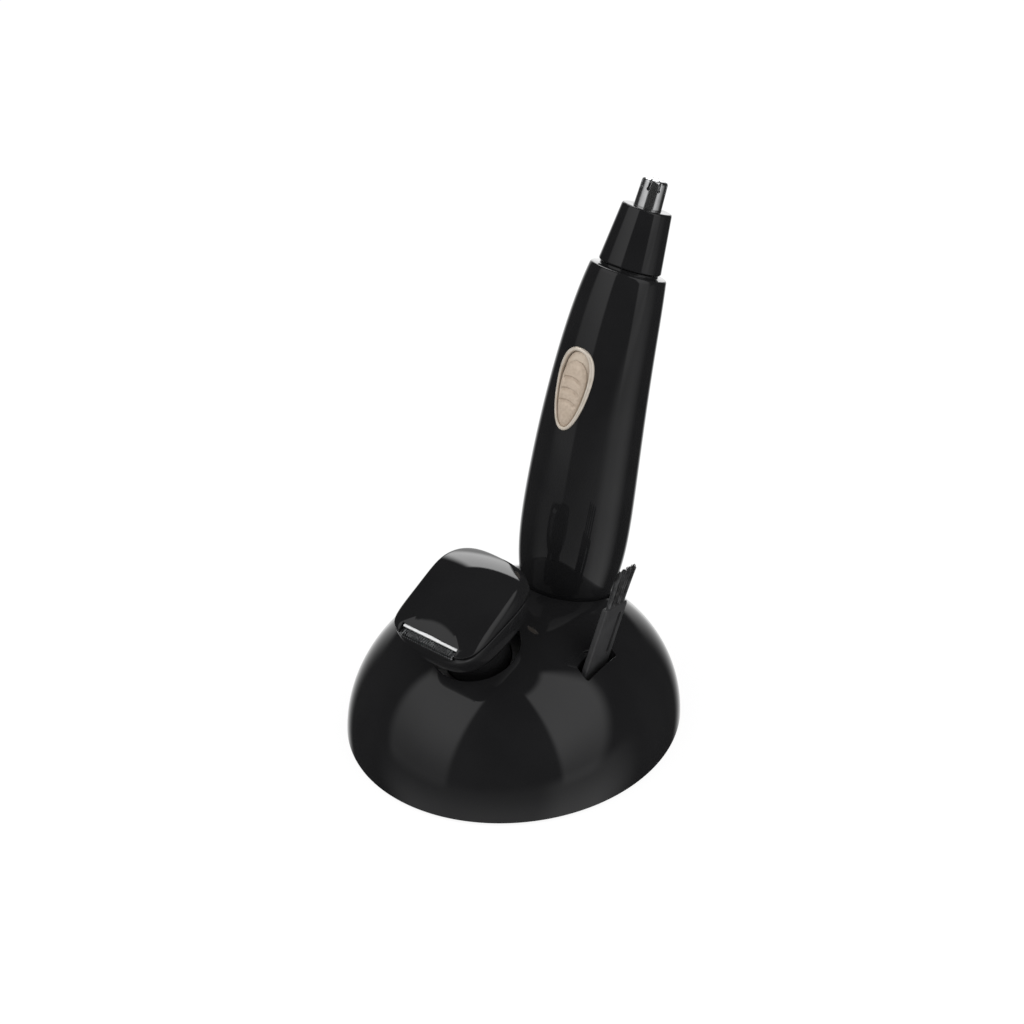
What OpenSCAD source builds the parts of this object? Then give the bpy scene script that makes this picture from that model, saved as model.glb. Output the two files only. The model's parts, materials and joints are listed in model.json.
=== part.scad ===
/* [Stand] */
// Half width of the dome, side to side
dome_half_x = 43.4; // [42:0.1:46]
// Half depth of the dome, front to back
dome_half_y = 47.6; // [46:0.1:50]
// Height of the full dome above its lower edge
dome_rise = 37.6; // [37:0.1:39]
// Wall thickness of the stand shell
stand_wall = 2.2; // [1.8:0.1:2.6]
// Height of the rubber feet under the dome
foot_h = 0.8; // [0.6:0.1:1.2]
// Backward tilt of the flat facet round the trimmer socket, in degrees
facet_tilt = 15; // [13:0.5:17]
// Distance of the facet from the middle of the dome's base
facet_reach = 35.55; // [35.2:0.05:36]

/* [Trimmer] */
// Backward lean of the trimmer's straight lower part, in degrees
lean_low = 13.7; // [13:0.1:14.5]
// Extra lean gained up to the top of the body, in degrees
lean_gain = 16.55; // [15:0.05:18]
// Length of the body from its foot to the ledge under the nose head
body_len = 110; // [109:0.5:111]
// Largest radius of the body
belly_r = 14.72; // [14.5:0.02:15]
// Wall thickness of the body
body_wall = 1.8; // [1.6:0.1:2]
// Radius of the battery cap
cap_r = 12; // [11.8:0.1:12.1]
// Height of the battery cap
cap_h = 18; // [17.5:0.5:18]

/* [Nose head] */
// Height of the nose cone's top above the body ledge
cone_top = 17.4; // [17:0.1:18]
// Radius of the nose cone at its foot
cone_low_r = 8.6; // [8.4:0.1:9]
// Radius of the nose cone at its top
cone_top_r = 6.85; // [6.6:0.05:7.2]
// Height of the steel tip above the nose cone
tip_h = 7.9; // [7.5:0.1:8.3]
// Number of cutting slots in the steel tip
tip_slots = 8; // [6:1:10]

/* [Spare head] */
// Half width of the spare head
head_half_x = 14.1; // [13.6:0.1:14.4]
// Half length of the spare head
head_half_y = 16.6; // [16.2:0.1:17]
// Height of the parting line above the rim of the well
head_split = 15.4; // [15.2:0.1:16]
// Number of teeth on the comb blade
comb_teeth = 27; // [21:2:31]

/* [Brush] */
// Width of the brush handle
brush_w = 11.4; // [11:0.1:11.8]
// Thickness of the brush handle
brush_t = 1.6; // [1.5:0.1:1.9]
// Height of the handle above the dome
brush_up = 19.1; // [18.4:0.1:19.5]
// Number of bristle tufts
tufts = 4; // [3:1:5]

/* [Travel] */
// Upward travel of the switch
switch_travel = 2.4; // [1.5:0.1:2.4]
// Sideways travel of the moving blade, each way
blade_travel = 1; // [0.6:0.1:1]

/* [Hidden] */

// shared fits and fine detail
run_gap = 0.05;      // radial clearance of a shaft in its bush
seat_gap = 0.15;     // clearance between two fitted plastic parts
cut_over = 0.5;      // how far a cutting solid runs past the face it cuts
FINE = 96;
MID = 48;
SMALL = 24;

black = [0.1, 0.1, 0.105];
steel = [0.78, 0.79, 0.8];
gold = [0.74, 0.67, 0.59];

// places in the stand
trimmer_foot = [0, 20.44, 10.1 + foot_h];
well_place = [-1.2, -17, 35.3 + foot_h];
well_tilt = 15;
head_turn = -5;
brush_place = [25.5, 0.35, 27.55 + foot_h];
brush_lean_y = 16.8;
brush_lean_x = 8.5;

// ---- body curve: w is the distance along the body from its foot ----
bend_from = 25;
bend_len = 85;
belly_at = 42;
function lean(w) = lean_low + lean_gain * pow(max(0, (w - bend_from) / bend_len), 2);
function spine(w) = w <= 1 ? [w * sin(lean_low), w * cos(lean_low)]
  : spine(w - 1) + [sin(lean(w - 0.5)), cos(lean(w - 0.5))];
function body_r(w) =
  w < belly_at ? belly_r - 2.73 * pow((belly_at - w) / 24, 2.63)
  : belly_r - 3.5 * pow((w - belly_at) / 68, 1.5) - 0.76 * pow((w - belly_at) / 68, 8);

// ---- frames ----
module lower_frame(w = 0) {
  translate(trimmer_foot) rotate([-lean_low, 0, 0]) translate([0, 0, w]) children();
}
module body_frame(w, extra = 0) {
  p = spine(w);
  translate(trimmer_foot + [0, p[0], p[1]]) rotate([-lean(w) - extra, 0, 0]) children();
}
module top_frame(t = 0) {
  body_frame(body_len) translate([0, 0, t]) children();
}
switch_at = 77.8;
switch_turn = -5;
switch_r = body_r(switch_at);
switch_slope = atan((body_r(switch_at - 8) - body_r(switch_at + 8)) / 16);
module switch_frame() { body_frame(switch_at, switch_slope) rotate([0, 0, switch_turn]) children(); }
module head_frame(t = 0) {
  translate(well_place) rotate([well_tilt, 0, head_turn]) translate([0, 0, t]) children();
}
module brush_frame() {
  translate(brush_place) rotate([-brush_lean_y, brush_lean_x, 0]) children();
}

// ---- shared shapes ----
module tube(r_out, r_in, h, fn = MID) {
  difference() {
    cylinder(r = r_out, h = h, $fn = fn);
    translate([0, 0, -cut_over]) cylinder(r = r_in, h = h + 2 * cut_over, $fn = fn);
  }
}
function bend(v, squareness) = sign(v) * pow(abs(v), 2 / squareness);
// an egg outline round the origin, wider towards its upper end
module egg(half_w, half_l) {
  polygon([for (k = [0 : 31]) let (a = 360 * k / 32, up = bend(sin(a), 2.3))
    [half_w * (1 + 0.25 * up) * bend(cos(a), 2.3), half_l * up]]);
}
module rounded_rect(half_x, half_y, r) {
  for (sx = [-1, 1], sy = [-1, 1])
    translate([sx * (half_x - r), sy * (half_y - r)]) circle(r = r, $fn = SMALL * 2);
  square([2 * (half_x - r), 2 * half_y], center = true);
  square([2 * half_x, 2 * (half_y - r)], center = true);
}
// a closed skin through a list of equal rings of points
module loft(rings) {
  n = len(rings[0]);
  last = len(rings) - 1;
  polyhedron(
    points = [for (ring = rings) each ring],
    faces = concat(
      [[for (i = [0 : n - 1]) i]],
      [[for (i = [n - 1 : -1 : 0]) last * n + i]],
      [for (k = [0 : last - 1], i = [0 : n - 1])
        [k * n + i, (k + 1) * n + i, (k + 1) * n + (i + 1) % n]],
      [for (k = [0 : last - 1], i = [0 : n - 1])
        [k * n + i, (k + 1) * n + (i + 1) % n, k * n + (i + 1) % n]]
    ), convexity = 6);
}
// a wire spring along +Z
module coil(r_low, r_high, h, turns, wire_r) {
  steps = round(turns * 14);
  loft([for (k = [0 : steps]) let (
      a = 360 * turns * k / steps,
      r = r_low + (r_high - r_low) * k / steps,
      z = wire_r + (h - 2 * wire_r) * k / steps)
    [for (j = [0 : 5]) let (b = 60 * j)
      [(r + wire_r * cos(b)) * cos(a), (r + wire_r * cos(b)) * sin(a), z - wire_r * sin(b)]]]);
}
// a sector of a ring about +Z, from angle a1 to a2 (under 180 degrees)
module ring_sector(r_in, r_out, h, a1, a2) {
  reach = 3 * r_out;
  intersection() {
    tube(r_out, r_in, h);
    translate([0, 0, -1]) linear_extrude(height = h + 2) polygon([
      [0, 0], [reach * cos(a1), reach * sin(a1)],
      [reach * cos((a1 + a2) / 2), reach * sin((a1 + a2) / 2)], [reach * cos(a2), reach * sin(a2)]
    ]);
  }
}

// ================= stand =================
// the dome less its facet, shrunk inwards by inset on every side
module dome_solid(inset) {
  half_y = dome_half_y - inset;
  intersection() {
    translate([0, 0, foot_h])
      scale([(dome_half_x - inset) / half_y, 1, (dome_rise - inset) / half_y]) sphere(r = half_y, $fn = FINE);
    translate([0, 0, foot_h]) rotate([-facet_tilt, 0, 0])
      translate([-80, -80, inset - 100]) cube([160, 160, 100 + facet_reach - 2 * inset]);
    translate([-80, -80, foot_h]) cube([160, 160, 80]);
  }
}
socket_r = cap_r + 0.35;
mouth_r = 13.5;
well_r = 12.2;
well_depth = 6.5;
neck_r = 8.8;
neck_low = 14;
boss_spots = [[0, -37], [-31, 17], [31, 17]];
module at_bosses() { for (p = boss_spots) translate([p[0], p[1], 0]) children(); }
brush_slot = [4.5, 13.4];
brush_slot_shift = [0.3, -0.55];
brush_deep = 11;
module stand_wells() {
  lower_frame() {
    translate([0, 0, -0.6]) cylinder(r = socket_r, h = 60, $fn = FINE);
    translate([0, 0, 15]) cylinder(r1 = socket_r, r2 = mouth_r, h = 4, $fn = FINE);
    translate([0, 0, 19]) cylinder(r = mouth_r, h = 40, $fn = FINE);
  }
  head_frame() {
    translate([0, 0, -well_depth]) cylinder(r = well_r, h = 40, $fn = FINE);
    translate([0, 0, -neck_low - 0.5]) cylinder(r = neck_r + 0.3, h = 20, $fn = FINE);
  }
  brush_frame() translate([brush_slot_shift[0], brush_slot_shift[1], -brush_deep])
    linear_extrude(height = 40) rounded_rect(brush_slot[0] / 2, brush_slot[1] / 2, 0.9);
}
module stand_tubes() {
  lower_frame(-2.4) cylinder(r = socket_r + 1.6, h = 40, $fn = FINE);
  lower_frame(13) cylinder(r = mouth_r + 1.6, h = 30, $fn = FINE);
  head_frame() {
    translate([0, 0, -well_depth - 1.8]) cylinder(r = well_r + 1.6, h = 30, $fn = FINE);
    translate([0, 0, -neck_low - 2.3]) cylinder(r = neck_r + 2, h = 20, $fn = FINE);
  }
  brush_frame() translate([brush_slot_shift[0], brush_slot_shift[1], -brush_deep - 1.6])
    linear_extrude(height = 30) rounded_rect(brush_slot[0] / 2 + 1.5, brush_slot[1] / 2 + 1.5, 2);
  translate([0, 0, foot_h + 2.2]) at_bosses() cylinder(r = 3, h = 24, $fn = SMALL);
}
module stand_shell() {
  color(black) difference() {
    union() {
      difference() { dome_solid(0); dome_solid(stand_wall); }
      intersection() { dome_solid(stand_wall / 2); stand_tubes(); }
    }
    stand_wells();
    translate([0, 0, foot_h]) at_bosses() cylinder(r = 1.3, h = 12, $fn = SMALL);
    translate([-80, -80, -1]) cube([160, 160, foot_h + 1]);
  }
}
plate_gap = 0.4;
module plate_outline(shrink) {
  scale([(dome_half_x - shrink) / (dome_half_y - shrink), 1, 1]) circle(r = dome_half_y - shrink, $fn = FINE);
}
foot_spots = concat([[0, 0]], [for (a = [45 : 90 : 315]) [30 * cos(a), 34 * sin(a)]]);
module base_plate() {
  color([0.12, 0.12, 0.12]) difference() {
    translate([0, 0, foot_h]) linear_extrude(height = 2) plate_outline(stand_wall + plate_gap);
    at_bosses() {
      cylinder(r = 1.6, h = 8, $fn = SMALL);
      cylinder(r = 3.1, h = foot_h + 1.1, $fn = SMALL);
    }
    for (p = foot_spots) translate([p[0], p[1], 0]) cylinder(r = 5.05, h = foot_h + 0.7, $fn = MID);
  }
}
module ballast_plate() {
  color([0.5, 0.5, 0.52]) difference() {
    translate([0, 0, foot_h + 2.05]) linear_extrude(height = 2.2)
      scale([0.86, 1, 1]) circle(r = 39.5, $fn = FINE);
    at_bosses() cylinder(r = 3.3, h = 12, $fn = SMALL);
  }
}
module rubber_feet() {
  color([0.16, 0.16, 0.16]) for (p = foot_spots) translate([p[0], p[1], 0])
    cylinder(r = 5, h = foot_h + 0.65, $fn = MID);
}
module base_screws() {
  color(steel) at_bosses() {
    difference() {
      translate([0, 0, foot_h - 0.15]) cylinder(r = 2.7, h = 1.2, $fn = SMALL);
      for (a = [0, 90]) rotate([0, 0, a]) translate([-1.6, -0.3, foot_h - 0.2]) cube([3.2, 0.6, 0.75]);
    }
    translate([0, 0, foot_h + 1]) cylinder(r = 1.25, h = 8, $fn = SMALL);
  }
}

// ================= trimmer body =================
ring_count = 40;
loft_from = cap_h;
spigot_r = 10.3;
spigot_bore = 8.9;
spigot_low = 12.4;
neck_out_r = 6.4;
neck_high = 5.6;
top_wall = 3.2;
body_bore = 4.3;
seam_turn = 5;
function body_ring(w, r) = let (p = spine(w), s = lean(w))
  [for (i = [0 : ring_count - 1]) let (a = 360 * i / ring_count)
    [r * cos(a), trimmer_foot[1] + p[0] + r * sin(a) * cos(s), trimmer_foot[2] + p[1] - r * sin(a) * sin(s)]];
module body_loft(w1, w2, rings, inset) {
  loft([for (k = [0 : rings]) let (w = w1 + (w2 - w1) * k / rings) body_ring(w, body_r(w) - inset)]);
}
bezel_half_w = 5.2;
bezel_half_l = 11.5;
// an egg-shaped bar across the front of the body, its middle at height z
module switch_prism(half_w, half_l, z) {
  switch_frame() translate([0, -8, z]) rotate([90, 0, 0]) linear_extrude(height = 10) egg(half_w, half_l);
}
module bayonet_lugs(r_in, r_out, h) {
  for (a = [0, 180]) ring_sector(r_in, r_out, h, a - 9, a + 9);
}
module bayonet_track(r, h, entry_h, entry_at) {
  cylinder(r = r, h = h, $fn = MID);
  for (a = [entry_at, entry_at + 180]) ring_sector(1, r, h + entry_h, a - 11, a + 11);
}
module body_shell() {
  color(black) difference() {
    union() {
      body_loft(loft_from, body_len, 18, 0);
      lower_frame(spigot_low) rotate([0, 0, seam_turn]) cylinder(r = spigot_r, h = 7, $fn = MID);
      lower_frame(13.4) bayonet_lugs(spigot_r - 0.5, spigot_r + 0.65, 1.5);
      top_frame(-1) {
        rotate([0, 0, seam_turn]) cylinder(r = 8, h = 1.7, $fn = MID);
        rotate([0, 0, seam_turn]) cylinder(r = neck_out_r, h = neck_high, $fn = MID);
      }
      top_frame(2.4) bayonet_lugs(neck_out_r - 0.5, neck_out_r + 0.6, 1.2);
    }
    body_loft(loft_from + 3, body_len - top_wall, 14, body_wall);
    lower_frame(spigot_low - 1) rotate([0, 0, seam_turn]) cylinder(r = spigot_bore, h = 14, $fn = MID);
    lower_frame(15.9) difference() {
      cylinder(r = spigot_r + 1, h = 1, $fn = MID);
      translate([0, 0, -1]) cylinder(r = spigot_r - 0.75, h = 3, $fn = MID);
    }
    top_frame(-8) rotate([0, 0, seam_turn]) cylinder(r = body_bore, h = 20, $fn = MID);
    switch_prism(bezel_half_w + 0.05, bezel_half_l + 0.05, 0);
  }
}

// ---- battery end ----
battery_r = 7.1;
battery_low = 8;
battery_len = 49.2;
module battery() {
  lower_frame(battery_low) {
    color([0.2, 0.35, 0.3]) cylinder(r = battery_r, h = battery_len, $fn = MID);
    color(steel) cylinder(r = 2.7, h = battery_len + 1.3, $fn = SMALL);
  }
}
contact_level = battery_low + battery_len + 1.35;
module positive_contact() {
  color(steel) lower_frame(contact_level) {
    cylinder(r = 5, h = 0.4, $fn = MID);
    cylinder(r = 1.2, h = 1.2, $fn = SMALL);
  }
}
module battery_cap() {
  groove_r = spigot_r + 0.8;
  color(black) lower_frame() difference() {
    rotate_extrude($fn = FINE) {
      translate([cap_r - 2, 2]) intersection() { circle(r = 2, $fn = MID); translate([0, -2]) square(2); }
      square([cap_r - 2, cap_h - 0.1]);
      translate([0, 2]) square([cap_r, cap_h - 2.1]);
    }
    translate([0, 0, 1.6]) cylinder(r = spigot_bore + 0.1, h = 20, $fn = MID);
    translate([0, 0, spigot_low - 0.2]) cylinder(r = spigot_r + seat_gap, h = 10, $fn = MID);
    translate([0, 0, 13.2]) bayonet_track(groove_r, 1.9, 8, -45);
  }
}
module cap_seal() {
  color([0.15, 0.15, 0.15]) lower_frame(16.4)
    rotate_extrude($fn = MID) translate([spigot_r - 0.32, 0]) circle(r = 0.4, $fn = SMALL);
}
module battery_spring() {
  color(steel) lower_frame(1.62) {
    cylinder(r = 6.5, h = 0.35, $fn = MID);
    translate([0, 0, 0.2]) coil(5.6, 2.6, battery_low - 1.9, 3.5, 0.4);
  }
}

// ---- chassis, motor and contacts ----
cradle_out = 8.6;
cradle_in = 7.35;
motor_r = 7.75;
motor_top = -9.5;
motor_len = 20;
motor_low = motor_top - motor_len;
cell_top = contact_level + 1.3;
function low_point(w, y) = [
  trimmer_foot[1] + w * sin(lean_low) + y * cos(lean_low),
  trimmer_foot[2] + w * cos(lean_low) - y * sin(lean_low)];
function top_point(t, y) = let (p = spine(body_len), s = lean(body_len)) [
  trimmer_foot[1] + p[0] + t * sin(s) + y * cos(s),
  trimmer_foot[2] + p[1] + t * cos(s) - y * sin(s)];
deck_y = 4 - switch_r;
deck_low = -10;
deck_len = 8.8;
function deck_point(z, y) = let (p = spine(switch_at), s = lean(switch_at) + switch_slope) [
  trimmer_foot[1] + p[0] + z * sin(s) + y * cos(s),
  trimmer_foot[2] + p[1] + z * cos(s) - y * sin(s)];
module chassis_web(x) {
  translate([x, 0, 0]) rotate([90, 0, 90]) linear_extrude(height = 1, center = true) polygon([
    low_point(cell_top - 4, 6.8), low_point(cell_top + 1, 6.8),
    top_point(motor_low + 2, 7), top_point(motor_low + 8, 7),
    top_point(motor_low + 8, 5), top_point(motor_low - 2, 3),
    deck_point(deck_low + deck_len, -5), deck_point(deck_low + deck_len, deck_y),
    deck_point(deck_low, deck_y), low_point(cell_top - 4, -6.8)
  ]);
}
module inner_chassis() {
  color([0.85, 0.85, 0.83]) {
    difference() {
      union() {
        lower_frame(13.5) cylinder(r = cradle_out, h = cell_top + 1.2 - 13.5, $fn = MID);
        for (x = [-5.2, 5.2]) chassis_web(x);
        top_frame(motor_low + 2) cylinder(r = motor_r + 0.8, h = 8, $fn = MID);
        switch_frame() translate([-5.7, deck_y, deck_low]) cube([11.4, 1, deck_len]);
      }
      lower_frame(10) cylinder(r = cradle_in, h = cell_top - 10, $fn = MID);
      lower_frame(24) translate([-4, -12, 0]) cube([8, 8, 28]);
      lower_frame(cell_top - 1) cylinder(r = 1.5, h = 6, $fn = SMALL);
      top_frame(motor_low - 3) cylinder(r = motor_r + run_gap, h = 30, $fn = MID);
    }
  }
}
module motor_can() {
  color([0.72, 0.72, 0.74]) top_frame(motor_low) difference() {
    union() {
      cylinder(r = motor_r, h = motor_len, $fn = MID);
      cylinder(r = 3, h = motor_len + 1.2, $fn = MID);
    }
    translate([0, 0, -1]) cylinder(r = motor_r - 0.8, h = motor_len, $fn = MID);
    translate([0, 0, 5]) cylinder(r = 1 + run_gap, h = motor_len, $fn = MID);
  }
}
module motor_magnets() {
  color([0.3, 0.3, 0.32]) top_frame(motor_low + 4.5)
    for (a = [0, 180]) ring_sector(5.2, motor_r - 0.85, 12.5, a - 55, a + 55);
}
module motor_end_cap() {
  color([0.92, 0.92, 0.9]) top_frame(motor_low) difference() {
    union() {
      translate([0, 0, -1.2]) cylinder(r = motor_r - 0.3, h = 1.2, $fn = MID);
      cylinder(r = motor_r - 0.85, h = 1.3, $fn = MID);
      for (x = [-3.6, 3.6]) translate([x - 0.8, 0, -3.4]) cube([1.6, 0.4, 2.4]);
    }
    translate([0, 0, -3]) cylinder(r = 1 + run_gap, h = 6, $fn = MID);
    translate([0, 0, 0.1]) cylinder(r = 3.4, h = 3, $fn = MID);
  }
}
module contact_leaves() {
  color([0.8, 0.62, 0.35]) switch_frame() for (x = [-2, 2])
    translate([x - 0.7, deck_y - 0.35, deck_low + 0.4]) cube([1.4, 0.35, deck_len - 0.8]);
}
module armature() {
  top_frame(motor_low) {
    color([0.7, 0.35, 0.2]) difference() {
      translate([0, 0, 5]) cylinder(r = 4.7, h = 11.5, $fn = MID);
      for (a = [0 : 120 : 240]) rotate([0, 0, a]) translate([3.4, -0.7, 4]) cube([3, 1.4, 14]);
    }
    color([0.8, 0.55, 0.3]) translate([0, 0, 1.6]) cylinder(r = 2.3, h = 3.6, $fn = SMALL);
    color(steel) translate([0, 0, -1.8]) cylinder(r = 1, h = motor_len + 6, $fn = MID);
  }
}

// ---- drive up to the cutter ----
coupler_low = motor_top + 1.5;
module drive_coupler() {
  color([0.9, 0.9, 0.88]) top_frame(coupler_low) difference() {
    cylinder(r = 3.2, h = 7, $fn = MID);
    translate([0, 0, -1]) cylinder(r = 1.02, h = 4.5, $fn = MID);
    translate([-4, -0.7, 4.6]) cube([8, 1.4, 4]);
  }
}
spindle_low = coupler_low + 4.8;
blade_level = 19.6;
module cutter_spindle() {
  color([0.88, 0.88, 0.86]) top_frame() {
    translate([-2.6, -0.6, spindle_low]) cube([5.2, 1.2, 2.4]);
    translate([0, 0, spindle_low + 2.3]) cylinder(r = 1.5, h = blade_level - spindle_low - 2.3, $fn = MID);
    translate([0, 0, spindle_low + 2.3]) cylinder(r = 3, h = 1.2, $fn = MID);
  }
}
module cutter_spring() {
  color(steel) top_frame(spindle_low + 3.55) coil(2.3, 2.3, 8.5, 5, 0.3);
}
module inner_cutter() {
  color(steel) top_frame(blade_level) {
    cylinder(r = 2.9, h = 0.8, $fn = MID);
    for (a = [0 : 90 : 270]) rotate([0, 0, a]) translate([1.6, -0.35, 0.4]) cube([1.2, 0.7, tip_h - 3.7]);
  }
}

// ---- nose head ----
tip_low_r = 3.8;
tip_top_r = 3.5;
cone_low = 0.9;
module nose_housing() {
  wall = 1.3;
  color(black) top_frame() difference() {
    rotate_extrude($fn = FINE) polygon([
      [0, cone_low], [cone_low_r - 0.3, cone_low], [cone_low_r, cone_low + 0.3],
      [cone_top_r + 0.05, cone_top - 0.5], [cone_top_r - 0.4, cone_top], [0, cone_top]]);
    translate([0, 0, cone_low - 0.1]) cylinder(r = neck_out_r + seat_gap, h = neck_high, $fn = MID);
    translate([0, 0, 2.2]) bayonet_track(neck_out_r + 0.75, 1.6, 0.01, -35);
    for (a = [-35, 145]) translate([0, 0, cone_low - 0.1]) ring_sector(1, neck_out_r + 0.75, 2, a - 11, a + 11);
    translate([0, 0, 5]) cylinder(r1 = 6.4, r2 = 5.6, h = 5.2, $fn = MID);
    translate([0, 0, 9]) cylinder(r = 3 + 0.02, h = 5, $fn = MID);
    translate([0, 0, 13]) cylinder(r = cone_top_r - wall - 0.3, h = cone_top - 14.4, $fn = MID);
    translate([0, 0, 10]) cylinder(r = tip_low_r + 0.04, h = 10, $fn = MID);
  }
}
module nose_bush() {
  color([0.75, 0.6, 0.35]) top_frame(10.2) tube(tip_low_r, 1.5 + run_gap, 2.7);
}
// rounded thimble outline of the steel tip, shrunk by inset
module tip_outline(inset) {
  edge = 0.9;
  high = cone_top + tip_h - inset;
  low = cone_top - 3;
  polygon([[0, low], [tip_low_r - inset, low], [tip_low_r - inset, cone_top],
    [tip_top_r - inset, high - edge], [0, high - edge]]);
  translate([0, high - edge - 0.01]) square([tip_top_r - inset - edge, edge + 0.01]);
  translate([tip_top_r - inset - edge, high - edge]) intersection() {
    circle(r = edge, $fn = MID);
    translate([0, -0.01]) square(edge + 0.01);
  }
}
slot_turn = 7.5;
module outer_cutter() {
  color(steel) top_frame() difference() {
    union() {
      rotate_extrude($fn = FINE) tip_outline(0);
      translate([0, 0, cone_top - 3]) cylinder(r = 4.9, h = 0.7, $fn = MID);
    }
    difference() {
      rotate_extrude($fn = FINE) tip_outline(0.4);
      translate([-10, -10, cone_top + tip_h - 0.45]) cube(20);
    }
    translate([0, 0, cone_top - 3.5]) cylinder(r = tip_low_r - 0.4, h = 2, $fn = MID);
    for (k = [0 : tip_slots - 1]) rotate([0, 0, 360 * k / tip_slots + slot_turn]) {
      translate([2, -0.3, cone_top + tip_h - 2.6]) cube([4, 0.6, 4]);
      translate([2, 0, cone_top + tip_h - 2.6]) rotate([0, 90, 0]) cylinder(r = 0.5, h = 4, $fn = SMALL);
    }
  }
}

// ---- switch ----
module switch_band(r_in, r_out) {
  switch_frame() translate([0, 0, -30]) tube(r_out, r_in, 60, FINE);
}
pocket_half_w = 4.2;
pocket_half_l = 10.55;
knob_half_w = 3.8;
knob_half_l = 9.1;
knob_at = knob_half_l - pocket_half_l + 0.05;
stem_low = -8;
stem_len = 3.4;
stem_deep = 1.65;
slider_y = 2.75 - switch_r;
module switch_bezel() {
  color(gold) difference() {
    intersection() {
      switch_band(switch_r - 2.2, switch_r + 0.55);
      switch_prism(bezel_half_w, bezel_half_l, 0);
    }
    intersection() {
      switch_band(switch_r - 1.3, switch_r + 3);
      switch_prism(pocket_half_w, pocket_half_l, 0);
    }
    switch_frame() translate([-1.1, -18, stem_low - 0.1]) cube([2.2, 12, stem_len + switch_travel + 0.2]);
  }
}
module switch_knob() {
  color(gold) {
    difference() {
      intersection() {
        switch_band(switch_r - 1.2, switch_r + 0.45);
        switch_prism(knob_half_w, knob_half_l, knob_at);
      }
      for (k = [-1 : 1]) switch_frame() translate([0, -switch_r - 0.9, 3.2 * k])
        rotate([0, 90, 0]) translate([0, 0, -2.4 - 0.3 * k]) cylinder(r = 0.75, h = 4.8 + 0.6 * k, $fn = SMALL);
    }
    switch_frame() translate([-1, slider_y - stem_deep, stem_low]) cube([2, stem_deep, stem_len]);
  }
}
module switch_slider() {
  color([0.2, 0.2, 0.2]) switch_frame() translate([-3, slider_y, stem_low - 0.9]) cube([6, 0.8, 4.7]);
}

// ================= spare head =================
rim_low = head_split - 0.9;
bowl_low = 2;
shell_wall = 1.5;
crown_rise = 6.1;
// a rounded square ring of points, boxier at the front; squareness 2 is an ellipse and 5 is boxy
function pillow_ring(shrink, z, back_sq, front_sq) = [for (i = [0 : 43]) let (
    a = 360 * i / 44, squareness = a < 180 ? back_sq : front_sq)
  [(head_half_x - shrink) * bend(cos(a), squareness),
    (head_half_y - shrink) * bend(sin(a), squareness) - 0.3, z]];
// the crown arches down to the back, falls away gently to the front and drops at its rounded edge
arch_y = 6.6;
crown_edge = 1.6;
function crown_fall(y) = y > arch_y ? 0.03 * pow(y - arch_y, 2) : 0.2 * (sqrt(pow(arch_y - y, 2) + 9) - 3);
function crown_point(p, inset, edge) =
  [p[0], p[1], head_split + edge * (crown_rise - inset - crown_fall(p[1]) - 0.0105 * p[0] * p[0])];
module head_crown(inset) {
  steps = 5;
  loft(concat(
    [for (k = [0 : steps]) let (a = 90 * k / steps)
      [for (p = pillow_ring(inset + crown_edge * (1 - cos(a)), 0, 3.4, 5)) crown_point(p, inset, sin(a))]],
    [for (shrink = [3.5 : 2 : 11.5])
      [for (p = pillow_ring(inset + shrink, 0, 3.4 - 0.1 * shrink, 5 - 0.2 * shrink))
        crown_point(p, inset, 1)]],
    [pillow_ring(13, crown_point([0, 0], inset, 1)[2], 2.2, 2.2)]));
}
module head_bowl(inset) {
  steps = 8;
  loft([for (k = [0 : steps]) let (f = k / steps)
    pillow_ring(inset + 5 * pow(1 - f, 2.8), bowl_low + (rim_low - bowl_low) * f,
      2.2 + 1.2 * f, 2.2 + 2.8 * f)]);
}
blade_half = 9;
blade_front = -14.6;
blade_tip = -17.2;
comb_level = head_split - 0.5;
comb_t = 0.5;
blade_t = 0.45;
rail_t = 1.45;
rail_level = comb_level - rail_t - run_gap;
moving_level = comb_level + comb_t + run_gap;
clip_level = moving_level + blade_t + run_gap;
clip_t = 0.35;
bay_half = blade_half + 0.35;
bay_back = -5;
bay_top = clip_level + clip_t + 0.05;
pivot_y = -5;
arm_front = 7.5;
arm_back = 5;
throw = blade_travel * arm_back / arm_front;
post_y = pivot_y - arm_front;
lever_level = 9.4;
screw_spots = [[-7, -7], [7, -7]];
screw_head_r = 1.7;
screw_head_h = 0.9;
module blade_window() {
  translate([-bay_half, -head_half_y - 4, comb_level - 0.8]) cube([2 * bay_half, 8, 2.3]);
}
// the crescent hollow behind the blade is the side of a wide drum lying in front of the head
scoop_r = 83;
scoop_slope = 27;
scoop_foot = [-0.3, -14.4];
module scoop(grow) {
  translate([scoop_foot[0], scoop_foot[1], head_split + 0.8]) rotate([scoop_slope, 0, 0])
    translate([0, 30, scoop_r]) rotate([90, 0, 0]) rotate([0, 0, seam_turn])
      cylinder(r = scoop_r + grow, h = 60, $fn = FINE);
}
module head_top_shell() {
  color(black) head_frame() difference() {
    head_crown(0);
    difference() {
      translate([0, 0, -0.01]) head_crown(shell_wall);
      scoop(1.3);
    }
    scoop(0);
    blade_window();
    translate([-bay_half, -head_half_y - 4, comb_level]) {
      cube([2 * bay_half, head_half_y + 4 + blade_front + 0.8, 10]);
      cube([2 * bay_half, head_half_y + 4 + bay_back, bay_top - comb_level]);
    }
    for (p = screw_spots) translate([p[0], p[1], comb_level]) {
      cylinder(r = screw_head_r + 0.3, h = bay_top + screw_head_h + 0.1 - comb_level, $fn = MID);
    }
  }
}
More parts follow.
